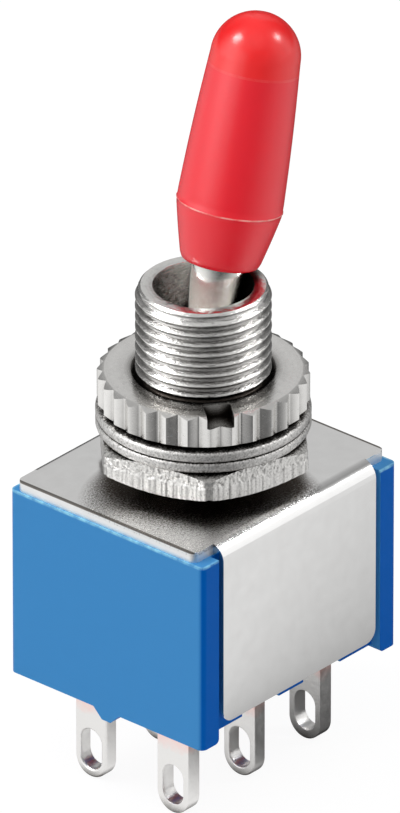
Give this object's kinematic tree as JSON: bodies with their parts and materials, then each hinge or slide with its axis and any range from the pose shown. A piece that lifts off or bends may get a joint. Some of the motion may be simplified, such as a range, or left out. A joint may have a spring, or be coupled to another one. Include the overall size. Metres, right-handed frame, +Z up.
{
  "type": "panel toggle switch",
  "caption": "Miniature toggle switch with a sleeved lever, a threaded panel bushing with nuts and washers, a crimped metal frame round a moulded case, and solder lugs.",
  "frame": {"origin": "on the bushing's axis, level with the tips of the solder lugs", "axes": "+Z up the bushing, +X the way the lever leans at rest, Y along the lever's hinge"},
  "size_m": [0.013, 0.0112, 0.0355],
  "materials": {
    "blue_moulding": "satin moulded, sharp edges lightly rounded",
    "satin_nickel": "satin nickel plate on pressed sheet",
    "bright_nickel": "bright nickel plate, turned",
    "nickel_nut": "nickel plate over a blanked, granular edge",
    "lever_metal": "bright nickel plate, turned",
    "red_plastic": "glossy, slightly waxy",
    "inner_plastic": "moulded",
    "red_resin": "poured, glossy",
    "tinned_lug": "bright tin plate, blanked edges",
    "contact_metal": "silver plated",
    "plunger_metal": "turned",
    "spring_wire": "drawn wire"
  },
  "bodies": {
    "housing": {"case": "blue_moulding", "frame": "satin_nickel", "bushing": "bright_nickel", "seal_a": "red_resin", "seal_b": "red_resin", "hex_nut": "nickel_nut", "plain_washer": "nickel_nut", "lock_washer": "nickel_nut", "face_nut": "bright_nickel", "terminal_a1": "tinned_lug", "terminal_a2": "tinned_lug", "terminal_a3": "tinned_lug", "contact_a1": "contact_metal", "contact_a3": "contact_metal", "terminal_b1": "tinned_lug", "terminal_b2": "tinned_lug", "terminal_b3": "tinned_lug", "contact_b1": "contact_metal", "contact_b3": "contact_metal"},
    "lever": {"lever": "lever_metal", "lever_sleeve": "red_plastic", "pivot_pin": "lever_metal", "actuator_yoke": "inner_plastic", "spring_a": "spring_wire", "spring_b": "spring_wire"},
    "rocker_a": {"rocker_a": "contact_metal"},
    "plunger_a": {"plunger_a": "plunger_metal"},
    "rocker_b": {"rocker_b": "contact_metal"},
    "plunger_b": {"plunger_b": "plunger_metal"}
  },
  "joints": [
    {"name": "lever_throw", "type": "hinge", "parent": "housing", "child": "lever", "pos_m": [0, 0, 0.02], "axis": [0, 1, 0], "range_deg": [-29, 0]},
    {"name": "rocker_a_rock", "type": "hinge", "parent": "housing", "child": "rocker_a", "pos_m": [0, -0.0024, 0.00835], "axis": [0, 1, 0], "range_deg": [0, 16]},
    {"name": "plunger_a_slide", "type": "slide", "parent": "lever", "child": "plunger_a", "axis": [-0.2504, 0, -0.9681], "range_m": [0, 0.00042], "stiffness_N_per_m": 300, "springref_m": 0.0012, "deforming": ["spring_a"]},
    {"name": "rocker_b_rock", "type": "hinge", "parent": "housing", "child": "rocker_b", "pos_m": [0, 0.0024, 0.00835], "axis": [0, 1, 0], "range_deg": [0, 16]},
    {"name": "plunger_b_slide", "type": "slide", "parent": "lever", "child": "plunger_b", "axis": [-0.2504, 0, -0.9681], "range_m": [0, 0.00042], "stiffness_N_per_m": 300, "springref_m": 0.0012, "deforming": ["spring_b"]}
  ],
  "couplings": [
    {"joint": "rocker_a_rock", "follows": "lever_throw", "ratio": -0.55172},
    {"joint": "rocker_b_rock", "follows": "lever_throw", "ratio": -0.55172}
  ]
}
